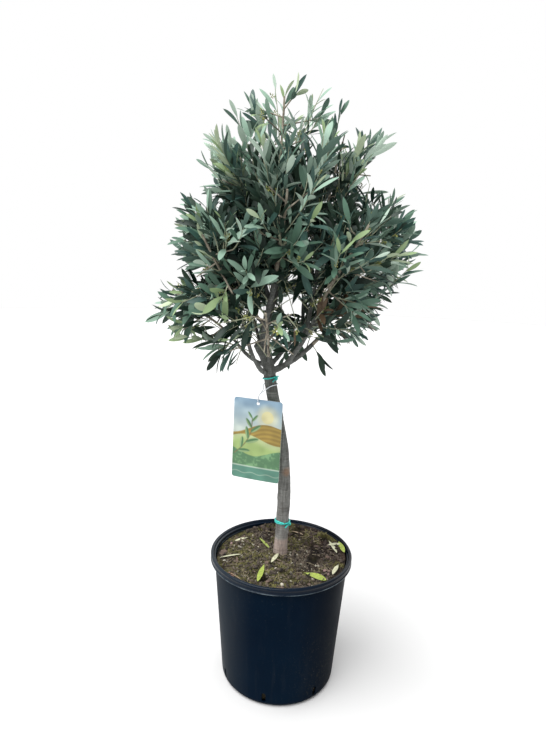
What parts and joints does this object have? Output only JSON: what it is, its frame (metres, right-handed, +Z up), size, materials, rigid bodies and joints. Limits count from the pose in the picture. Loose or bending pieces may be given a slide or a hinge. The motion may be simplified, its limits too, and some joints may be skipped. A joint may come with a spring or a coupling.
{
  "type": "potted olive tree",
  "caption": "Young standard olive tree with a clear leaning stem and a round open crown of narrow leaves, in a filled tapered nursery pot with stem ties and a picture label on a string.",
  "frame": {"origin": "middle of the pot's flat underside, where it stands", "axes": "+Z up along the stem, -Y towards the front, where the label hangs, +X to the right seen from the front"},
  "size_m": [0.4927, 0.4342, 1.1371],
  "materials": {
    "pot": "satin",
    "soil": "matte",
    "bark": "matte",
    "foliage": "satin",
    "tie": "satin",
    "label": "satin",
    "string": "satin"
  },
  "bodies": {
    "root": {"pot": "pot", "soil": "soil", "trunk": "bark", "leader": "bark", "centre_bough": "bark", "upper_left_bough": "bark", "left_bough": "bark", "low_right_bough": "bark", "right_bough": "bark", "right_side_bough": "bark", "upper_right_bough": "bark", "low_left_bough": "bark", "front_left_bough": "bark", "low_front_shoot": "bark", "back_bough": "bark", "back_left_bough": "bark", "back_right_bough": "bark", "crown_top": "foliage", "upper_left": "foliage", "upper_right": "foliage", "front_upper": "foliage", "back_upper": "foliage", "left_side": "foliage", "right_side": "foliage", "front_left": "foliage", "front_right": "foliage", "low_left": "foliage", "low_right": "foliage", "low_front": "foliage", "back_left": "foliage", "back_right": "foliage", "tie_low": "tie", "tie_high": "tie", "label": "label", "label_string": "string"}
  },
  "joints": []
}
